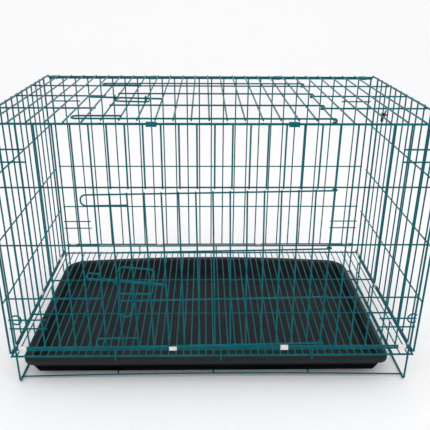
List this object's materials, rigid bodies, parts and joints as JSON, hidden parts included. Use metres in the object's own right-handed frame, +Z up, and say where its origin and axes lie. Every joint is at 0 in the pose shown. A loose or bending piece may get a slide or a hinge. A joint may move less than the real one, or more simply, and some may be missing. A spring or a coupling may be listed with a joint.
{
  "type": "folding wire dog crate",
  "caption": "Folding wire crate on a raised base, with front and top doors, sliding bolts, panels on crimped hinge clips and a pull-out tray.",
  "frame": {"origin": "on the ground under the middle of the whole crate", "axes": "+X to the right along the length, -Y towards the front door, +Z up"},
  "size_m": [0.9498, 0.5674, 0.6394],
  "materials": {
    "green_paint": "satin teal-green enamel on steel wire",
    "clip_steel": "bright zinc-plated strip",
    "black_plastic": "matte moulded plastic"
  },
  "bodies": {
    "base": {"base_frame": "green_paint", "floor_grid": "green_paint", "back_hinge_clip_1": "clip_steel", "back_hinge_clip_2": "clip_steel", "back_hinge_clip_3": "clip_steel", "back_hinge_clip_4": "clip_steel", "front_hinge_clip_1": "clip_steel", "front_hinge_clip_2": "clip_steel", "front_hinge_clip_3": "clip_steel", "front_hinge_clip_4": "clip_steel", "left_hinge_clip_1": "clip_steel", "left_hinge_clip_2": "clip_steel", "left_hinge_clip_3": "clip_steel", "right_hinge_clip_1": "clip_steel", "right_hinge_clip_2": "clip_steel", "right_hinge_clip_3": "clip_steel"},
    "tray": {"tray": "black_plastic"},
    "left_side": {"left_side_panel": "green_paint"},
    "right_side": {"right_side_panel": "green_paint", "side_clip": "black_plastic"},
    "front": {"front_panel": "green_paint"},
    "back": {"back_panel": "green_paint", "top_back_clip_1": "green_paint", "top_back_clip_2": "green_paint", "top_back_clip_3": "green_paint", "top_back_clip_4": "green_paint"},
    "lid": {"top_panel": "green_paint", "top_front_clip_1": "green_paint", "top_front_clip_2": "green_paint"},
    "front_door": {"front_door": "green_paint"},
    "top_door": {"top_door": "green_paint"},
    "front_door_bolt": {"front_door_bolt": "green_paint"},
    "top_door_bolt": {"top_door_bolt": "green_paint"}
  },
  "joints": [
    {"name": "tray_slide", "type": "slide", "parent": "base", "child": "tray", "axis": [0, -1, 0], "range_m": [0, 0.48]},
    {"name": "left_side_fold", "type": "hinge", "parent": "base", "child": "left_side", "pos_m": [-0.46926, 0.00136, 0.07797], "axis": [0, 1, 0], "range_deg": [0, 90]},
    {"name": "right_side_fold", "type": "hinge", "parent": "base", "child": "right_side", "pos_m": [0.46674, 0.00136, 0.07797], "axis": [0, -1, 0], "range_deg": [0, 88.8]},
    {"name": "front_fold", "type": "hinge", "parent": "base", "child": "front", "pos_m": [-0.00126, -0.26664, 0.09797], "axis": [-1, 0, 0], "range_deg": [0, 90]},
    {"name": "back_fold", "type": "hinge", "parent": "base", "child": "back", "pos_m": [-0.00126, 0.26936, 0.09797], "axis": [-1, 0, 0], "range_deg": [-88, 0]},
    {"name": "lid_fold", "type": "hinge", "parent": "back", "child": "lid", "pos_m": [-0.00126, 0.27936, 0.62197], "axis": [-1, 0, 0], "range_deg": [0, 264]},
    {"name": "front_door_hinge", "type": "hinge", "parent": "front", "child": "front_door", "pos_m": [0.24374, -0.26979, 0.34797], "axis": [0, 0, -1], "range_deg": [-150, 0]},
    {"name": "top_door_hinge", "type": "hinge", "parent": "lid", "child": "top_door", "pos_m": [0.23274, -0.06514, 0.62512], "axis": [0, 1, 0], "range_deg": [0, 150]},
    {"name": "front_bolt_slide", "type": "slide", "parent": "front_door", "child": "front_door_bolt", "axis": [-0.9945, 0, 0.1045], "range_m": [-0.026, 0]},
    {"name": "top_bolt_slide", "type": "slide", "parent": "top_door", "child": "top_door_bolt", "axis": [0.9925, -0.1219, 0], "range_m": [0, 0.026]}
  ],
  "couplings": [
    {"joint": "lid_fold", "follows": "back_fold", "ratio": -3}
  ]
}
